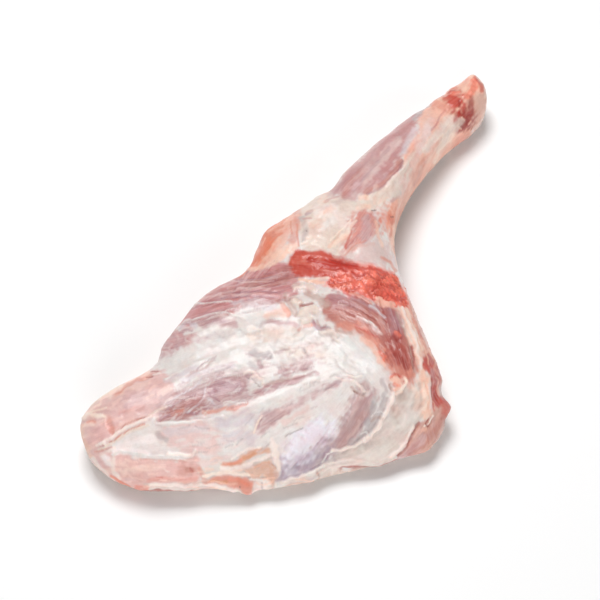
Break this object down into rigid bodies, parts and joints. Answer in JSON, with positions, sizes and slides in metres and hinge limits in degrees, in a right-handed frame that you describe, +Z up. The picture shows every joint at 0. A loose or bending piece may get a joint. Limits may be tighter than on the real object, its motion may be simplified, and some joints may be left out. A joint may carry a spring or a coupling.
{
  "type": "raw lamb shoulder",
  "caption": "Raw lamb shoulder on the bone with its shank, lying on its fat side: a broad flat blade end with folds of muscle and fat, narrowing past the elbow to a knuckle.",
  "frame": {"origin": "middle of the part's footprint, on the table it lies on", "axes": "+X from the blade end to the knuckle of the shank, +Z up from the table, -Y towards the trimmed fat edge"},
  "size_m": [0.3882, 0.1694, 0.053],
  "materials": {
    "raw_lamb": "moist raw meat, fat and silverskin, satin with wet highlights"
  },
  "bodies": {
    "root": {"lamb_shoulder": "raw_lamb"}
  },
  "joints": []
}
